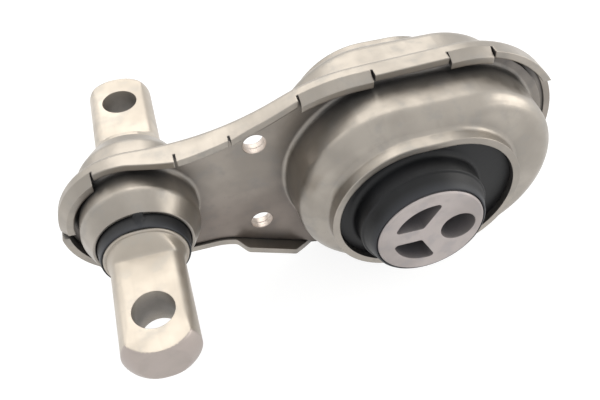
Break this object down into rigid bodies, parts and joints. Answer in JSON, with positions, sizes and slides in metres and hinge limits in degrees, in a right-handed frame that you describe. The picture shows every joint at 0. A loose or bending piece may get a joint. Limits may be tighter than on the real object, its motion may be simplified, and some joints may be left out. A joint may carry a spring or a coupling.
{
  "type": "engine mount",
  "caption": "Torque-link engine mount: two pressed steel shells joining a large rubber bush with an offset aluminium core to a small rubber bush with a flatted bar pin.",
  "frame": {"origin": "middle of the bolt bore in the big bush's core, on the plane where the two shells meet", "axes": "X along the link, with the bar pin on the -X side; Y along the bores, -Y towards the front shell; Z across the pin's flats"},
  "size_m": [0.1865, 0.1304, 0.0869],
  "materials": {
    "plated_steel": "satin, zinc plated",
    "pin_steel": "satin, plated",
    "core_aluminium": "matt, as cut",
    "bush_rubber": "matt"
  },
  "bodies": {
    "root": {"front_shell": "plated_steel", "rear_shell": "plated_steel", "big_bush_core": "core_aluminium", "big_bush_rubber": "bush_rubber", "bar_pin": "pin_steel", "small_bush_rubber": "bush_rubber"}
  },
  "joints": []
}
